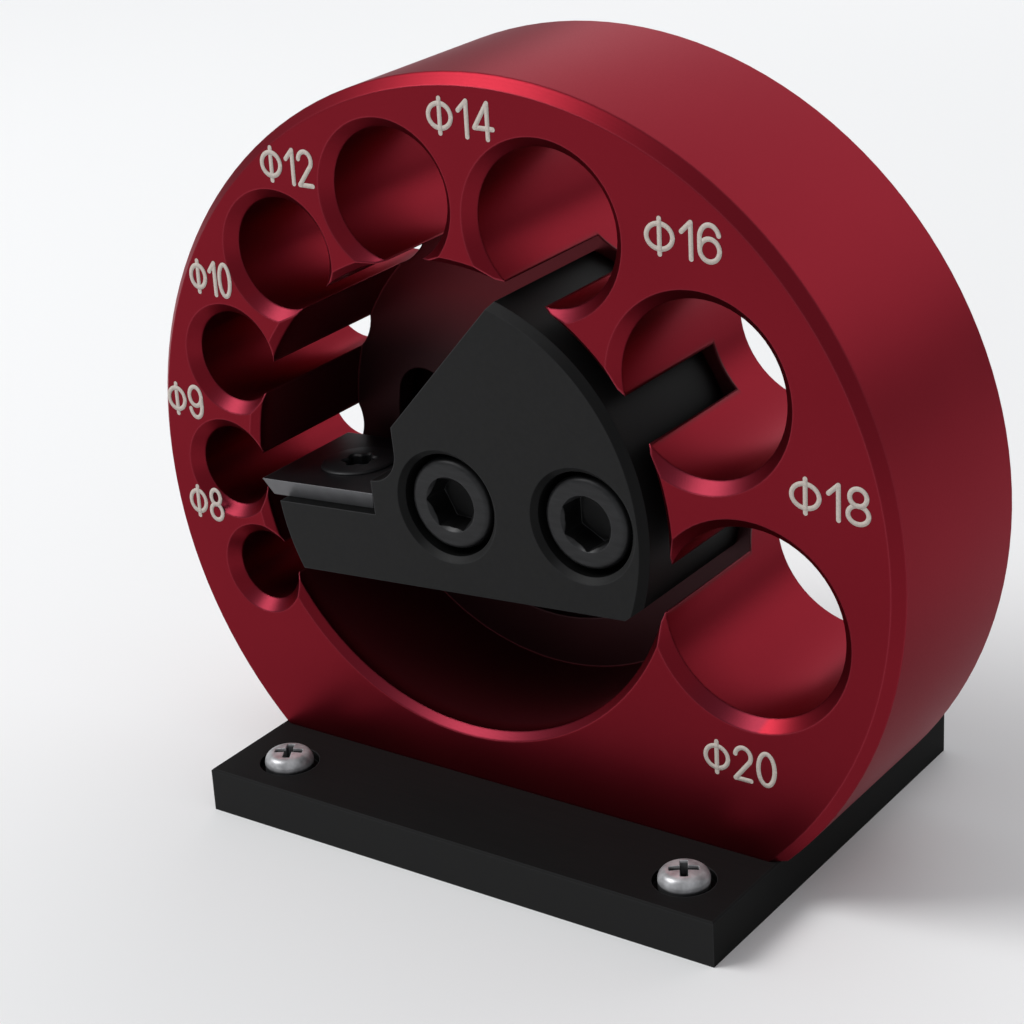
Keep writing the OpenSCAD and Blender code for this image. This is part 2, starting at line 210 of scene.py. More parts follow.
# %% [markdown]
# A finish is a material that is built on a Graph. Every finish here needs the same few helpers: a place on
# the part, a soft noise, a colour between two colours, and the worn edges.
#
# A real edge is never perfectly sharp. The Bevel node rounds the shading across it, and where the rounded
# direction differs from the flat one the surface is close to an edge. That gives the thin bright line on
# every rim, and it shows where the colour has been rubbed.

# %% A finish and its helpers
def colour(red, green, blue):
    """A colour as a shader takes it, from the numbers that a picture shows."""
    shown = [value / 255 for value in (red, green, blue)]
    linear = [v / 12.92 if v <= 0.04045 else ((v + 0.055) / 1.055) ** 2.4 for v in shown]
    return (*linear, 1)


class Finish(Graph):
    """A material for one kind of surface."""

    def __init__(self, name):
        self.material = bpy.data.materials.new(name)
        self.material.use_nodes = True
        super().__init__(self.material.node_tree)
        self.place = self.node("TexCoord", output="Object")

    def centred(self, middle):
        return self.node("Mapping", {"vector_type": "POINT"}, {"Vector": self.place, "Location": -middle})

    def facing(self, axis):
        """How far a face looks along an axis of the part, from -1 to 1."""
        looks = self.node("TexCoord", output="Normal")
        return self.node("VectorMath", {"operation": "DOT_PRODUCT"}, {0: looks, 1: axis}, "Value")

    def noise(self, size, detail=2.0, place=None):
        """A soft noise from 0 to 1 whose blotches are about size metres wide."""
        values = {"Vector": place or self.place, "Scale": 1 / size, "Detail": detail}
        return self.node("TexNoise", None, values)

    def limit(self, value):
        return self.node("Clamp", None, {"Value": value})

    def between(self, factor, low, high):
        """The colour that lies factor of the way from low to high."""
        return self.node("Mix", {"data_type": "RGBA"}, {0: factor, 6: low, 7: high}, 2)

    def edges(self, radius, gain):
        """Rounds the shading of edges, and says how worn each point is, from 0 to 1."""
        self.rounded = self.node("Bevel", {"samples": 8}, {"Radius": radius})
        flat = self.node("NewGeometry", output="Normal")
        along = self.node("VectorMath", {"operation": "DOT_PRODUCT"}, {0: self.rounded, 1: flat}, "Value")
        return self.limit((1 - along) * gain)

    def relief(self, height, depth, strength=1.0):
        """Raises the surface by height times depth, on top of the rounded edges."""
        values = {"Strength": strength, "Distance": depth, "Height": height, "Normal": self.rounded}
        return self.node("Bump", None, values)

    def surface(self, **values):
        """Ends the finish with one Principled surface. An underscore in a name is a space in its socket."""
        sockets = {name.replace("_", " "): value for name, value in values.items()}
        shader = self.node("BsdfPrincipled", None, sockets)
        self.node("OutputMaterial", None, {"Surface": shader})
        return self.material


print("a colour of the ring, linear:", [round(v, 3) for v in colour(120, 28, 40)])

# %% [markdown]
# The ring is aluminium, turned on a lathe, blasted to a satin and dyed red in an anodising bath. The dye
# sits in a clear glassy skin, so the red is the colour of the metal's own reflection, and it is nearly as
# strong at a slant as it is seen straight on. The lathe leaves rings on flat faces and lines round every
# bore. They are only microns deep, so they only feed the bump. On the rims the dye is thin, and a
# brighter pink shows there.
#
# Little light comes back out of a deep pocket with a black head in it, so shade is painted on the walls
# behind the mouth: they are coloured darker and less metallic by how deep and how low they lie. That is
# measured from the pocket's own middle, so it stays with the ring. Behind the pocket's floor the painted
# shade shrinks by nearly a millimetre, so that it keeps to the slot and leaves the bores red. The lower
# chamfers of the holes face the key lamp, and a painted shade of browner red keeps them from glowing.

# %% The red anodised finish
def turned_marks(finish, middle, pitch):
    """Rings about the Y axis on faces, and lines round it on barrels and bores."""
    place = finish.centred(middle)
    scale = FULL_TURN / 20 / pitch
    ring = {"wave_type": "RINGS", "rings_direction": "Y", "wave_profile": "SIN"}
    band = {"wave_type": "BANDS", "bands_direction": "Y", "wave_profile": "SIN"}
    values = {"Vector": place, "Scale": scale, "Distortion": 0.5, "Detail": 1.0, "Detail Scale": 0.02}
    return finish.node("TexWave", ring, values, 1) + finish.node("TexWave", band, values, 1)


POCKET_DARK_R = mm(26)
LEDGE_REACH = mm(39.8)
red = Finish("red_anodised_aluminium")
worn = red.edges(mm(0.3), 4)
cloud = red.noise(mm(14), 1.0)
grain = red.noise(mm(0.16), 2.0)
dye_and_painted_light = red.between(cloud, colour(116, 26, 36), colour(128, 30, 41))
dye_and_painted_light = red.between(grain * 0.25, dye_and_painted_light, colour(96, 16, 26))
across = red.node("VectorMath", {"operation": "MULTIPLY"}, {0: red.centred(POCKET_MIDDLE), 1: (1, 0, 1)})
reach = red.node("VectorMath", {"operation": "LENGTH"}, {0: across}, "Value")
depth = red.node("SeparateXYZ", None, {0: red.place}, 1)
rise = red.node("SeparateXYZ", None, {0: across}, 2)
beyond = red.limit((depth - POCKET_FLOOR_Y - mm(0.2)) * 5000)
within = red.limit((POCKET_DARK_R - beyond * mm(0.9) - reach) * 2000)
behind_face = red.limit((depth - RING_FACE_Y - mm(1)) * 500)
before_back = red.limit((RING_BACK_Y - mm(0.3) - depth) * 5000)
# Painted shade: a mask of the pocket's walls, between the face and the back.
inside = within * behind_face * before_back
# Painted shade on the lower chamfers that face the key lamp.
painted_ledge_shade = red.limit((red.facing(Vector((0, -0.707, 0.707))) - 0.85) * 8)
painted_ledge_shade = painted_ledge_shade * red.limit((LEDGE_REACH - reach) * 2000)
dye_and_painted_light = red.between(worn * (1 - inside) * 0.4, dye_and_painted_light, colour(226, 100, 118))
# Painted shade of the deep pocket, lighter on its upper walls.
shade = inside * (0.92 - red.limit((rise - mm(8)) * 125) * 0.4)
dye_and_painted_light = red.between(shade, dye_and_painted_light, colour(32, 20, 22))
dye_and_painted_light = red.between(painted_ledge_shade, dye_and_painted_light, colour(97, 28, 39))
height = turned_marks(red, RING_MIDDLE, mm(0.30)) * 0.25 + grain * 0.75
red_finish = red.surface(
    Base_Color=dye_and_painted_light,
    # Less metallic where the painted shade lies.
    Metallic=1.0 - shade * 0.6,
    Roughness=0.31 + grain * 0.08 + cloud * 0.04,
    Normal=red.relief(height, mm(0.006), 0.5),
    Specular_Tint=colour(244, 200, 204),
)
print("red finish with", len(red.tree.nodes), "nodes")

# %% [markdown]
# The base and the cutter head are aluminium too, dyed black. Black dye drinks nearly all light, so what
# shows is a faint sheen and the pale line of each edge. The base was milled flat, which leaves long soft
# strokes along it, and the head was milled and blasted. Both start from one function, because only the
# shades, the gloss and the direction of the strokes differ. Light and shade are painted by the way a face
# looks: the base's front and back are lighter and its sides darker, and the head's upward and right faces
# are darker.

# %% The black anodised finishes
def black_anodised(name, dark, pale, strokes, gloss, sheen, faces):
    """Black dyed aluminium. faces lists an axis, how closely a face looks along it, and the light or shade
    painted on such faces.
    """
    finish = Finish(name)
    rubbed = finish.edges(mm(0.2), 4)
    grain = finish.noise(mm(0.14), 2.0)
    long = finish.node("Mapping", {"vector_type": "POINT"}, {"Vector": finish.place, "Scale": strokes})
    milled = finish.noise(mm(0.5), 3.0, long)
    dye_and_painted_light = finish.between(milled, dark, pale)
    # Painted light and shade, by the way each face looks.
    for axis, start, shade in faces:
        dye_and_painted_light = finish.between(finish.limit((finish.facing(axis) - start) * 8), dye_and_painted_light, shade)
    dye_and_painted_light = finish.between(rubbed * 0.3, dye_and_painted_light, colour(92, 92, 94))
    return finish.surface(
        Base_Color=dye_and_painted_light,
        Metallic=0.0,
        Roughness=gloss + grain * 0.12,
        Specular_IOR_Level=sheen,
        Normal=finish.relief(grain * 0.6 + milled * 0.4, mm(0.006), 0.5),
    )


LEFT, RIGHT = Vector((-1, 0, 0)), Vector((1, 0, 0))
FRONT, BACK, UP = Vector((0, -1, 0)), Vector((0, 1, 0)), Vector((0, 0, 1))
# Painted light on the base's front and back; painted shade on its sides and on the head's top and right
# faces.
painted_light_ends = ((FRONT, 0.8, colour(31, 31, 31)), (BACK, 0.8, colour(31, 31, 31)))
painted_shade_sides = ((LEFT, 0.8, colour(9, 10, 9)), (RIGHT, 0.8, colour(9, 10, 9)))
head_painted_shade_sides = ((UP, 0.8, colour(6, 6, 6)), (RIGHT, 0.35, colour(12, 12, 12)))
base_shades = (colour(18, 18, 18), colour(24, 24, 24))
head_shades = (colour(23, 23, 23), colour(31, 31, 31))
base_finish = black_anodised("black_base", *base_shades, (0.05, 1, 1), 0.6, 0.1, painted_light_ends + painted_shade_sides)
head_finish = black_anodised("black_head", *head_shades, (1, 1, 1), 0.5, 0.14, head_painted_shade_sides)
print("two black finishes made")

# %% [markdown]
# The small solid parts come in five finishes: zinc plate and black oxide for screws, plain steel for
# washers and the nut, dark steel for the insert's screw, and ground carbide for the insert, whose upward
# faces get a painted shade. They share one recipe. A fine noise breaks up the gloss, a wider one makes the
# plating uneven, and the edges are polished bright. The cap screws and the pan heads get a richer finish of
# their own further down.

# %% The steel and carbide finishes
def small_metal(name, dark, pale, edge, roughness, metallic, wear=0.5, top=None):
    """A steel or carbide finish. top is a painted shade for the faces that look up, where one is given."""
    finish = Finish(name)
    rubbed = finish.edges(mm(0.1), 4)
    patch = finish.noise(mm(1.6), 2.0)
    grain = finish.noise(mm(0.08), 2.0)
    tint = finish.between(patch, dark, pale)
    if top:
        # Painted shade on the faces that look up.
        tint = finish.between(finish.limit((finish.facing(UP) - 0.7) * 6), tint, top)
    tint = finish.between(rubbed * wear, tint, edge)
    return finish.surface(
        Base_Color=tint,
        Metallic=metallic,
        Roughness=roughness + patch * 0.1,
        Normal=finish.relief(grain, mm(0.003), 0.4),
    )


def grey(shade):
    return colour(shade, shade, shade + 2)


zinc_finish = small_metal("zinc_plate", grey(150), grey(205), grey(235), 0.3, 0.3, 0.3)
oxide_finish = small_metal("black_oxide", grey(26), grey(36), grey(120), 0.36, 0.5)
steel_finish = small_metal("plain_steel", grey(130), grey(160), grey(215), 0.3, 1.0)
insert_screw_finish = small_metal("dark_steel", grey(22), grey(30), grey(92), 0.4, 0.4)
# The insert's upward faces get a painted shade, grey(24).
carbide_finish = small_metal("ground_carbide", grey(92), grey(112), grey(150), 0.34, 0.4, 0.5, grey(24))
print("five small finishes made")

# %% [markdown]
# Each solid part takes its finish by name. A part whose shape is right is kept as it is, and nothing about
# its mesh is touched.

# %% Give the solid parts their finishes
finish_of = {
    "ring_housing": red_finish,
    "base_plate": base_finish,
    "cutter_carrier": head_finish,
    "carbide_insert": carbide_finish,
    "insert_screw": insert_screw_finish,
    "slide_nut": steel_finish,
}
for name, part in parts.items():
    if name in finish_of:
        part.material_slots[0].material = finish_of[name]
    elif "washer" in name:
        part.material_slots[0].material = steel_finish
    elif name.startswith("bench_screw"):
        part.material_slots[0].material = zinc_finish
    else:
        part.material_slots[0].material = oxide_finish
print("finished parts:", len(parts))

# %% [markdown]
# Screws are turned parts with something cut into the head. A turned part is a stack of outlines round one
# axis, and an outline doesn't have to be a circle: a hexagon, a cross or a star is also one radius for
# each angle. So one function can spin a whole screw, socket included, from the tip of its thread to the
# bottom of its socket. Boolean cuts would do the same with rougher meshes.

# %% Turn a part from a stack of outlines
def turned(name, stack, foot, axis, side, spokes):
    """A closed mesh from (height, radius) pairs in mm. Either may be a function of the angle."""
    across = axis.cross(side)
    loops = []
    mesh = bmesh.new()
    for height, radius in stack:
        loop = []
        for spoke in range(spokes):
            angle = FULL_TURN * spoke / spokes
            r = radius(angle) if callable(radius) else radius
            h = height(angle, r) if callable(height) else height
            out = side * math.cos(angle) + across * math.sin(angle)
            loop.append(mesh.verts.new(foot + axis * mm(h) + out * mm(r)))
        loops.append(loop)
    for low, high in zip(loops, loops[1:]):
        for spoke in range(spokes):
            after = (spoke + 1) % spokes
            mesh.faces.new((low[spoke], low[after], high[after], high[spoke]))
    bmesh.ops.remove_doubles(mesh, verts=mesh.verts, dist=mm(0.0005))
    bmesh.ops.dissolve_degenerate(mesh, edges=mesh.edges, dist=mm(0.0005))
    bmesh.ops.recalc_face_normals(mesh, faces=mesh.faces)
    return placed(name, mesh)


def placed(name, mesh):
    """Makes an object at the origin from a bmesh, smooth but for its sharp edges."""
    data = bpy.data.meshes.new(name)
    mesh.to_mesh(data)
    mesh.free()
    data.shade_smooth()
    data.set_sharp_from_angle(angle=math.radians(32))
    made = bpy.data.objects.new(name, data)
    scene.collection.objects.link(made)
    return made


def polygon_outline(sides, apothem, corner_at):
    """The radius of a regular polygon at each angle, with a corner at one angle."""
    step = FULL_TURN / sides
    return lambda angle: apothem / math.cos((angle - corner_at) % step - step / 2)


print("a hexagon of 5 mm measures", round(polygon_outline(6, 2.5, 0)(0), 2), "mm to its corner")

# %% [markdown]
# Two M6 socket head cap screws hold the cutter head: one is its pivot, the other its clamp. On a real one
# the head is knurled for the fingers, its top edge is rounded, and the hexagon has a cone at its mouth so
# that the key finds its way in. All of this is one stack of outlines with 72 ribs round the head. The
# socket is a little wider than its 5 mm key, as the picture shows it.

# %% Make the two socket head cap screws
CAP_HEAD_R = 5.0
CAP_HEAD_H = 6.0
CAP_THREAD_R = 2.98
CAP_LENGTH = 17
CAP_SEAT_Y = mm(-6.6)
SOCKET_APOTHEM = 2.62
SOCKET_MOUTH_R = 3.02
CLAMP_REACH = mm(16.6)


def cap_finish(name, middle):
    """Black oxide with a brushed grey ring on the head and painted shade in the socket, centred on one screw.
    """
    finish = Finish(name)
    rubbed = finish.edges(mm(0.16), 4)
    across = finish.node("VectorMath", {"operation": "MULTIPLY"}, {0: finish.centred(middle), 1: (1, 0, 1)})
    reach = finish.node("VectorMath", {"operation": "LENGTH"}, {0: across}, "Value")
    depth = finish.node("SeparateXYZ", None, {0: finish.place}, 1) - CAP_SEAT_Y + mm(CAP_HEAD_H)
    # Painted shade in the hexagon socket, below its mouth.
    socket = finish.limit((mm(2.9) - reach) * 4000) * finish.limit((depth - mm(0.05)) * 3500)
    brushed = {"Vector": finish.centred(middle), "Rotation": (0, 0.9, 0), "Scale": (0.12, 1, 1)}
    strokes = finish.noise(mm(0.35), 3.0, finish.node("Mapping", {"vector_type": "POINT"}, brushed))
    tint = finish.between(strokes * strokes, colour(10, 10, 11), colour(46, 46, 48))
    tint = finish.between(finish.limit(1.6 - finish.facing(FRONT) * 2), tint, colour(24, 24, 25))
    tint = finish.between(rubbed * 0.4, tint, colour(96, 96, 98))
    # The socket's painted shade.
    tint = finish.between(socket * 0.85, tint, colour(6, 6, 6))
    return finish.surface(
        Base_Color=tint,
        Metallic=0.4,
        Roughness=0.36 + strokes * 0.12,
        Normal=finish.relief(turned_marks(finish, middle, mm(0.16)), mm(0.002), 0.4),
    )


def knurl(angle):
    return CAP_HEAD_R - 0.07 - 0.07 * math.cos(72 * angle)


def cap_screw(name, middle, corner_at):
    """A socket head cap screw whose head faces the front. middle is where its axis crosses y = 0."""
    hexagon = polygon_outline(6, SOCKET_APOTHEM, corner_at)
    stack = [(-CAP_LENGTH, 0), (-CAP_LENGTH, 2.2), (-CAP_LENGTH + 0.7, CAP_THREAD_R)]
    for turn in range(CAP_LENGTH - 2):
        stack += [(turn + 1.4 - CAP_LENGTH, 2.5), (turn + 1.9 - CAP_LENGTH, CAP_THREAD_R)]
    stack += [(0, CAP_THREAD_R), (0, 4.6), (0.25, knurl), (CAP_HEAD_H - 0.85, knurl)]
    for step in range(7):
        bend = math.pi / 2 * step / 6
        stack.append((CAP_HEAD_H - 0.7 + 0.7 * math.sin(bend), CAP_HEAD_R - 0.75 + 0.7 * math.cos(bend)))
    for depth in (0, 0.06, 0.12, 0.18, 0.24, 0.3, 0.36):
        cone = SOCKET_MOUTH_R - depth
        stack.append((CAP_HEAD_H - depth, lambda angle, cone=cone: max(hexagon(angle), cone)))
    stack += [(CAP_HEAD_H - 3.2, hexagon), (CAP_HEAD_H - 3.2, 2.3), (CAP_HEAD_H - 4, 0)]
    foot = Vector((middle.x, CAP_SEAT_Y, middle.z))
    return turned(name, stack, foot, Vector((0, -1, 0)), Vector((1, 0, 0)), 288)


clamp_middle = POCKET_MIDDLE + Vector((math.cos(HEAD_TURN), 0, math.sin(HEAD_TURN))) * CLAMP_REACH
pivot_cap = cap_screw("pivot_cap_screw", POCKET_MIDDLE, math.radians(-1))
clamp_cap = cap_screw("clamp_cap_screw", clamp_middle, math.radians(-29))
for made, body, node, middle in (
    (pivot_cap, "pivot_screw_body", "pivot_screw", POCKET_MIDDLE),
    (clamp_cap, "clamp_screw_body", "clamp_screw", clamp_middle),
):
    made.data.materials.append(cap_finish(node + "_finish", middle))
    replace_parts(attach(made, body), node)
    print(made.name, "has", len(made.data.polygons), "faces")

# %% [markdown]
# The insert is held by one small countersunk screw with a star socket. The star is a circle whose radius
# swells six times round. The head's cone has to match the insert's, so only its rim and socket are new.

# %% Make the screw of the insert
INSERT_MIDDLE = Vector((mm(-17.6), mm(-5.1), 0))
INSERT_HEAD_R = 4.2
INSERT_PROUD = 0.35


def star(angle):
    return 1.62 + 0.24 * math.cos(6 * angle)


def on_head(point):
    """Where a point of the cutter head's own frame lies, with the head turned about the pivot."""
    turn = Matrix.Rotation(-HEAD_TURN, 3, "Y")
    return turn @ point + Vector((POCKET_MIDDLE.x, 0, POCKET_MIDDLE.z))


rim = 0.3
star_stack = [
    (-6, 0),
    (-6, 2.1),
    (-5.6, 2.45),
    (INSERT_PROUD - rim - INSERT_HEAD_R + 2.5, 2.5),
    (INSERT_PROUD - rim, INSERT_HEAD_R),
    (INSERT_PROUD - rim + 0.12, INSERT_HEAD_R - 0.03),
    (INSERT_PROUD - 0.08, INSERT_HEAD_R - 0.16),
    (INSERT_PROUD, INSERT_HEAD_R - 0.34),
    (INSERT_PROUD, lambda angle: star(angle) + 0.22),
    (INSERT_PROUD - 0.2, star),
    (INSERT_PROUD - 1.6, star),
    (INSERT_PROUD - 1.9, 0),
]
up = Matrix.Rotation(-HEAD_TURN, 3, "Y") @ Vector((0, 0, 1))
star_screw = turned("insert_star_screw", star_stack, on_head(INSERT_MIDDLE), up, Vector((0, 1, 0)), 144)
star_screw.data.materials.append(insert_screw_finish)
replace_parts(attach(star_screw, "cutter_head"), "insert_screw")

# %% [markdown]
# Geometry Nodes do the repeating. A recipe is a small tree with named inputs. It is hung on a plain mesh
# as a modifier, its inputs are filled in, and the result is copied out as an ordinary mesh.

# %% Recipes of Geometry Nodes
class Recipe(Graph):
    """A Geometry Nodes tree with named inputs."""

    prefix = "GeometryNode"

    def __init__(self, name, sizes):
        super().__init__(bpy.data.node_groups.new(name, "GeometryNodeTree"))
        self.identifiers = {}
        face = self.tree.interface
        face.new_socket(name="Geometry", in_out="INPUT", socket_type="NodeSocketGeometry")
        for title, kind in sizes.items():
            made = face.new_socket(name=title, in_out="INPUT", socket_type="NodeSocket" + kind)
            self.identifiers[title] = made.identifier
        face.new_socket(name="Geometry", in_out="OUTPUT", socket_type="NodeSocketGeometry")
        self.start = self.tree.nodes.new("NodeGroupInput")

    def input(self, title):
        return Wire(self, self.start.outputs[title])

    def finish(self, geometry):
        """Ends the tree in real geometry with its material."""
        real = self.node("RealizeInstances", None, {"Geometry": geometry})
        coated = self.node("SetMaterial", None, {"Geometry": real, "Material": self.input("Material")})
        end = self.tree.nodes.new("NodeGroupOutput")
        self.tree.links.new(coated.socket, end.inputs[0])


def grown(name, seed_mesh, recipe, sizes):
    """Runs a recipe on a mesh and returns the result as a plain object."""
    modifier = seed_mesh.modifiers.new("recipe", "NODES")
    modifier.node_group = recipe.tree
    for title, value in sizes.items():
        modifier[recipe.identifiers[title]] = value
    bpy.context.view_layer.update()
    shaped = seed_mesh.evaluated_get(bpy.context.evaluated_depsgraph_get())
    data = bpy.data.meshes.new_from_object(shaped)
    seed_mesh.modifiers.remove(modifier)
    bpy.data.objects.remove(seed_mesh)
    data.name = name
    made = bpy.data.objects.new(name, data)
    scene.collection.objects.link(made)
    print(name, "grew to", len(data.polygons), "faces")
    return made


# %% [markdown]
# Four pan head screws hold the base down. The head is a low dome with a rounded rim, and the driver's
# cross is sunk into it. One screw is turned, with the cross as its outline, and the recipe sets it on the
# four corners of a grid. Each is left at its own angle, as a hand would leave it. Shade is painted dark on
# the plating inside the cross, and where the head sinks into its recess.

# %% Make the four pan head screws
PAN_R = 2.65
PAN_H = 2.4
PAN_RIM = 1.2
CROSS_REACH = 1.55
CROSS_HALF = 0.42
SCREW_SEAT_Z = mm(4)
SCREWS_ACROSS = mm(50)
SCREWS_ALONG = mm(39)


def dome(r):
    """The height of the head's top at a radius, in mm."""
    edge = max(0, r - (PAN_R - 0.9)) / 0.9
    return PAN_RIM + (PAN_H - PAN_RIM) * (1 - 0.28 * (r / PAN_R) ** 2) * math.sqrt(max(0, 1 - edge ** 2.6))


def cross(half, reach):
    """The radius of a cross with arms of a half width and a reach, at each angle."""
    def radius(angle):
        turn = (angle + math.pi / 4) % (math.pi / 2) - math.pi / 4
        side = half / max(abs(math.sin(turn)), 1e-6)
        return min(reach, side)
    return radius


def pan_head_stack():
    mouth = cross(CROSS_HALF, CROSS_REACH)
    stack = [(-2.3, 0), (-2.3, 1.1), (-1.9, 1.5), (0, 1.5), (0, PAN_R - 0.12), (0.12, PAN_R)]
    for step in range(25):
        reach = PAN_R * math.cos(math.pi / 2 * step / 24) ** 0.6 if step < 24 else 0
        stack.append((lambda angle, r: dome(r), lambda angle, reach=reach: max(mouth(angle), reach)))
    floor = cross(CROSS_HALF * 0.6, CROSS_REACH * 0.62)
    stack += [(0.75, floor), (0.55, lambda angle: min(floor(angle), 0.35)), (0.45, 0)]
    return stack


grid_inputs = {"Across": "Float", "Along": "Float", "Seat height": "Float", "Turn": "Float", "Seed": "Int"}
grid = Recipe("screw_grid", {**grid_inputs, "Material": "Material"})
corner_sizes = {"Size X": grid.input("Across"), "Size Y": grid.input("Along")}
corners = grid.node("MeshGrid", None, {**corner_sizes, "Vertices X": 2, "Vertices Y": 2})
by_hand = {2: -0.3, 3: 0.3, "Seed": grid.input("Seed")}
extra = grid.node("FunctionNodeRandomValue", {"data_type": "FLOAT"}, by_hand, 1)
turn = grid.node("ShaderNodeMath", {"operation": "ADD"}, {0: grid.input("Turn"), 1: extra})
rotation = grid.node("ShaderNodeCombineXYZ", None, {"Z": turn})
four = {"Points": corners, "Instance": grid.input("Geometry"), "Rotation": rotation}
screws = grid.node("InstanceOnPoints", None, four)
lift = grid.node("ShaderNodeCombineXYZ", None, {"Z": grid.input("Seat height")})
grid.finish(grid.node("Transform", None, {"Geometry": screws, "Translation": lift}))

pan_finish = Finish("pan_head_zinc")
worn = pan_finish.edges(mm(0.12), 3)
smudge = pan_finish.noise(mm(1.1), 2.0)
ground = [pan_finish.node("SeparateXYZ", None, {0: pan_finish.place}, axis) for axis in range(3)]
from_x = abs(ground[0]) - SCREWS_ACROSS / 2
from_y = abs(ground[1]) - SCREWS_ALONG / 2
near_axis = pan_finish.limit((mm(1.75) ** 2 - (from_x * from_x + from_y * from_y)) * 2e6)
# Painted shade inside the driver's cross.
sunk = near_axis * pan_finish.limit((SCREW_SEAT_Z + mm(2.2) - ground[2]) * 5000)
plating_and_painted_shade = pan_finish.between(smudge, grey(96), grey(222))
plating_and_painted_shade = pan_finish.between(worn * 0.4, plating_and_painted_shade, grey(240))
plating_and_painted_shade = pan_finish.between(sunk * 0.85, plating_and_painted_shade, grey(16))
# Painted shade low on the head, where it sinks into its recess.
shaded = pan_finish.limit((SCREW_SEAT_Z + mm(1.15) - ground[2]) * 4000)
plating_and_painted_shade = pan_finish.between(shaded * 0.9, plating_and_painted_shade, grey(12))
pan_zinc = pan_finish.surface(
    Base_Color=plating_and_painted_shade,
    Metallic=0.3,
    Roughness=0.26 + smudge * 0.12,
    Normal=pan_finish.relief(smudge, mm(0.02), 0.5),
)
print("pan head finish with", len(pan_finish.tree.nodes), "nodes")

pan_screw = turned("pan_screw", pan_head_stack(), Vector(), Vector((0, 0, 1)), Vector((1, 0, 0)), 144)
bench_screws = grown("bench_screws", pan_screw, grid, {
    "Across": SCREWS_ACROSS,
    "Along": SCREWS_ALONG,
    "Seat height": SCREW_SEAT_Z,
    "Turn": math.radians(20),
    "Seed": 4,
    "Material": pan_zinc,
})
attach(bench_screws, "housing")
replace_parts(bench_screws, *[name for name in parts if name.startswith("bench_screw")])

# %% [markdown]
# Each hole is marked with its diameter. On the real ring a laser takes the dye away along thin strokes, so
# the marks are flat, grey and a little rough. A font would give filled outlines. Strokes are simpler: each
# sign is a few lines and arcs, kept as chains of points, and a recipe runs a flat ribbon along them and
# puts a small disc on every end, as a round laser spot does.

# %% Draw the signs as strokes
def line(*points):
    return [tuple(point) for point in points]


def arc(x, z, wide, high, start, end, pieces=20):
    """Points on an ellipse from one angle to another, in degrees."""
    angles = [math.radians(start + (end - start) * i / pieces) for i in range(pieces + 1)]
    return [(x + wide * math.cos(a), z + high * math.sin(a)) for a in angles]


SIGNS = {
    "d": (0.76, [
        arc(0.38, 0.5, 0.38, 0.35, 0, 360, 32),
        line((0.38, 0.01), (0.38, 0.99)),
    ]),
    "0": (0.54, [arc(0.27, 0.5, 0.27, 0.5, 0, 360, 32)]),
    "1": (0.27, [line((0, 0.72), (0.27, 1)), line((0.27, 1), (0.27, 0))]),
    "2": (0.52, [
        arc(0.26, 0.73, 0.26, 0.27, 172, -32),
        line((0.48, 0.587), (0, 0)),
        line((0, 0), (0.52, 0)),
    ]),
    "4": (0.60, [
        line((0.43, 1), (0, 0.29)),
        line((0, 0.29), (0.60, 0.29)),
        line((0.43, 1), (0.43, 0)),
    ]),
    "6": (0.56, [
        arc(0.28, 0.31, 0.28, 0.31, 0, 360, 28),
        arc(0.28, 0.62, 0.28, 0.38, 18, 180),
        line((0, 0.62), (0, 0.31)),
    ]),
    "8": (0.56, [
        arc(0.28, 0.755, 0.23, 0.245, 0, 360, 28),
        arc(0.28, 0.26, 0.28, 0.26, 0, 360, 28),
    ]),
    "9": (0.56, [
        arc(0.28, 0.69, 0.28, 0.31, 0, 360, 28),
        arc(0.28, 0.38, 0.28, 0.38, 198, 360),
        line((0.56, 0.38), (0.56, 0.69)),
    ]),
}
SIGN_HEIGHT = 3.5
SIGN_STROKE = 0.49
SIGN_GAP = 0.25
print("signs drawn:", " ".join(SIGNS))

# %% [markdown]
# The marks stand where the picture shows them: near the rim, each a little clockwise of its hole, and
# narrower on the left of the ring. Each one is given by its middle on the face, seen from the ring's
# middle, and its width.

# %% Lay out the eight marks
MARKS = {
    "d8": (-39.6, -6.4, 4.9),
    "d9": (-41.1, 5.4, 5.1),
    "d10": (-35.65, 20.0, 5.8),
    "d12": (-23.8, 33.5, 6.9),
    "d14": (-1.75, 40.7, 8.0),
    "d16": (22.65, 31.85, 8.3),
    "d18": (37.65, 8.8, 8.5),
    "d20": (27.5, -21.15, 8.3),
}


def mark_strokes(text, x, z, width):
    """The chains of one mark in metres, with its middle at x, z."""
    advance = 0
    chains = []
    for sign in text:
        wide, strokes = SIGNS[sign]
        chains += [[(advance + u, v) for u, v in stroke] for stroke in strokes]
        advance += wide + SIGN_GAP
    natural = advance - SIGN_GAP
    wide = (width - SIGN_STROKE) / natural

    def on_face(u, v):
        return mm(x + (u - natural / 2) * wide), mm(z + (v - 0.5) * SIGN_HEIGHT)

    return [[on_face(u, v) for u, v in chain] for chain in chains]


def stroke_mesh(name, chains):
    """Chains of points as the edges of one mesh, all but flat on the ground plane."""
    points = []
    edges = []
    for count, chain in enumerate(chains):
        edges += [(len(points) + i, len(points) + i + 1) for i in range(len(chain) - 1)]
        points += [(x, z, mm(0.004) * (count % 5) + mm(0.00006) * i) for i, (x, z) in enumerate(chain)]
    data = bpy.data.meshes.new(name)
    data.from_pydata(points, edges, [])
    made = bpy.data.objects.new(name, data)
    scene.collection.objects.link(made)
    return made


chains = [chain for text, place in MARKS.items() for chain in mark_strokes(text, *place)]
print("strokes in the eight marks:", len(chains))

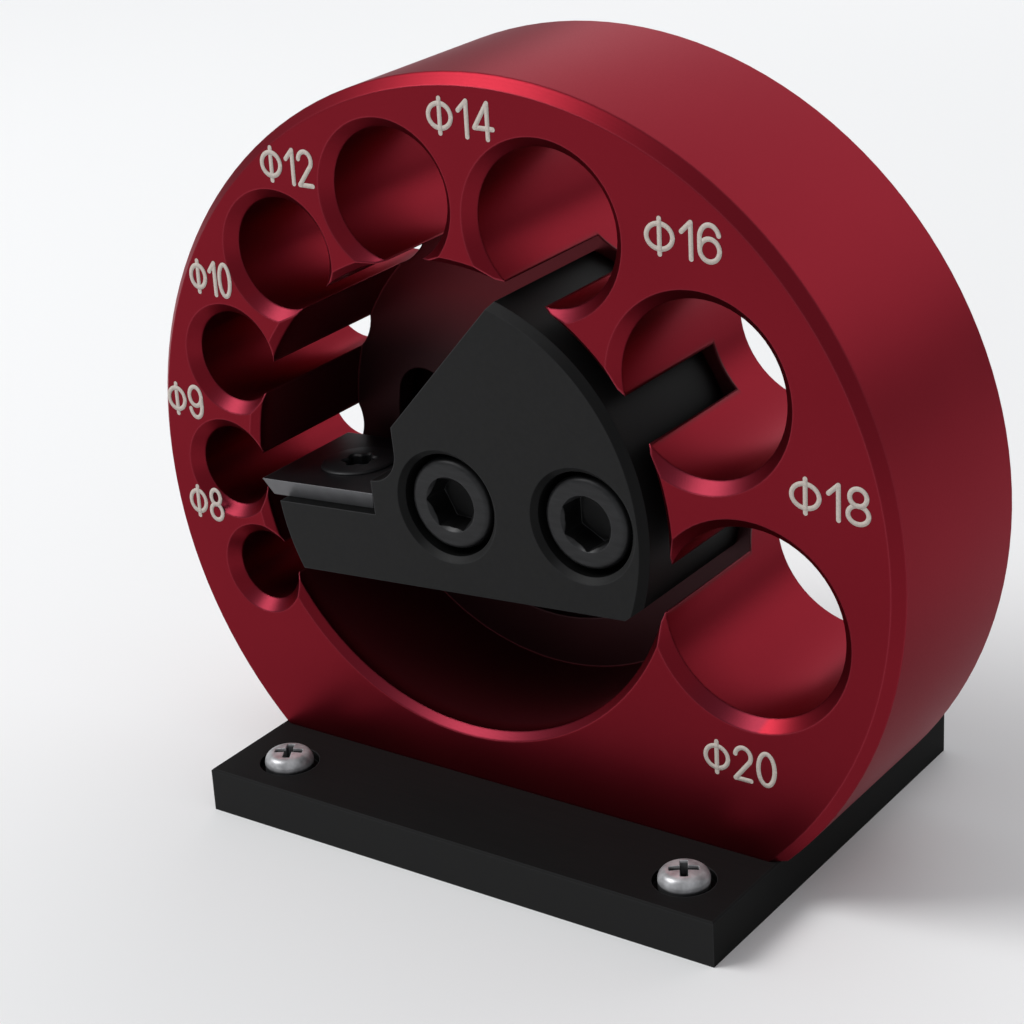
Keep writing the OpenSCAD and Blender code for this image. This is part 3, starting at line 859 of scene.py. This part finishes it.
# %% [markdown]
# The recipe works flat on the ground, where a ribbon's width and height are plain, and stands the result
# up against the ring's face at the end. The marks are two to four hundredths of a millimetre proud, enough
# to be real geometry and too little to see from the side. Where two strokes cross, or one closes on
# itself, two faces at one height would flicker black. So the chains start at five heights in turn, and
# each rises very slightly along its length.

# %% Grow the marks and their finish
ribbon_inputs = {"Stroke width": "Float", "Ink height": "Float", "Stand at": "Vector", "Material": "Material"}
ribbon = Recipe("mark_ribbon", ribbon_inputs)
curve = ribbon.node("MeshToCurve", None, {"Mesh": ribbon.input("Geometry")})
curve = ribbon.node("SetCurveNormal", {"mode": "Z_UP"}, {"Curve": curve})
section_sizes = {"Width": ribbon.input("Stroke width"), "Height": ribbon.input("Ink height")}
section = ribbon.node("CurvePrimitiveQuadrilateral", None, section_sizes)
band = ribbon.node("CurveToMesh", None, {"Curve": curve, "Profile Curve": section, "Fill Caps": True})
half = ribbon.node("ShaderNodeMath", {"operation": "MULTIPLY"}, {0: ribbon.input("Stroke width"), 1: 0.5})
deeper = ribbon.node("ShaderNodeMath", {"operation": "MULTIPLY"}, {0: ribbon.input("Ink height"), 1: 1.1})
spot_sizes = {"Vertices": 16, "Radius": half, "Depth": deeper}
spot = ribbon.node("MeshCylinder", None, spot_sizes)
ends = ribbon.node("CurveEndpointSelection", None, {"Start Size": 1, "End Size": 1})
spots = ribbon.node("InstanceOnPoints", None, {"Points": curve, "Selection": ends, "Instance": spot})
joined = ribbon.node("JoinGeometry")
ribbon.tree.links.new(band.socket, joined.socket.node.inputs[0])
ribbon.tree.links.new(spots.socket, joined.socket.node.inputs[0])
stand_up = {"Geometry": joined, "Translation": ribbon.input("Stand at"), "Rotation": (math.pi / 2, 0, 0)}
ribbon.finish(ribbon.node("Transform", None, stand_up))

mark = Finish("laser_marked")
speckle = mark.noise(mm(0.12), 3.0)
mark.edges(mm(0.02), 1)
mark_finish = mark.surface(
    Base_Color=mark.between(speckle, colour(168, 156, 146), colour(205, 196, 188)),
    Roughness=0.5 + speckle * 0.2,
    Normal=mark.relief(speckle, mm(0.004), 0.4),
)
size_marks = grown("size_marks", stroke_mesh("mark_strokes", chains), ribbon, {
    "Stroke width": mm(SIGN_STROKE),
    "Ink height": mm(0.04),
    "Stand at": (0, RING_FACE_Y, RING_MIDDLE.z),
    "Material": mark_finish,
})
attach(size_marks, "housing")

# %% [markdown]
# A product picture needs little round the object: a plain pale floor that runs out of the frame, an even
# pale sky, and two large soft lamps. The key lamp, high in front and to the left, lights the face and the
# chamfers and throws the soft shadow. A wide low panel behind lies where the barrel of the ring reflects,
# and draws the long pale band along its top.

# %% The floor, the sky and the lamps
floor_mesh = bmesh.new()
bmesh.ops.create_grid(floor_mesh, x_segments=1, y_segments=1, size=4)
floor = placed("floor", floor_mesh)
pale = Finish("pale_floor")
pale.edges(mm(1), 0)
shade = pale.between(pale.noise(0.3, 1.0), colour(238, 238, 238), colour(243, 243, 243))
floor.data.materials.append(pale.surface(Base_Color=shade, Roughness=0.9, Normal=pale.rounded))
floor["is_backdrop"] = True

sky = bpy.data.worlds.new("sky")
scene.world = sky
sky.use_nodes = True
sky.node_tree.nodes["Background"].inputs["Color"].default_value = (0.95, 0.97, 1.0, 1)
sky.node_tree.nodes["Background"].inputs["Strength"].default_value = 0.5


def lamp(name, turn, rise, distance, wide, high, power, aim=RING_MIDDLE):
    """A soft panel that looks at a point from a turn round it and a rise above the ground."""
    light = bpy.data.lights.new(name, "AREA")
    light.shape = "RECTANGLE"
    light.size = wide
    light.size_y = high
    light.energy = power
    towards = direction(math.radians(turn), math.radians(rise))
    made = bpy.data.objects.new(name, light)
    looking = towards.to_track_quat("Z", "Y").to_matrix().to_4x4()
    made.matrix_world = Matrix.Translation(aim + towards * distance) @ looking
    scene.collection.objects.link(made)
    print(name, "at", [round(v, 2) for v in made.location])


lamp("key_lamp", -54, 48, 1.0, 0.5, 0.5, 6.3)
lamp("back_panel", 178, 28, 0.8, 1.2, 0.52, 2.1)
scene.view_settings.view_transform = "Standard"

# %% [markdown]
# The last step prints the box of the solids and the box of the dressed model, to compare.

# %% Measure and finish
dressed_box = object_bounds()
for title, box in (("solids", solid_box), ("dressed", dressed_box)):
    print(title, [round((high - low) * 1000, 2) for low, high in zip(*box)], "mm")
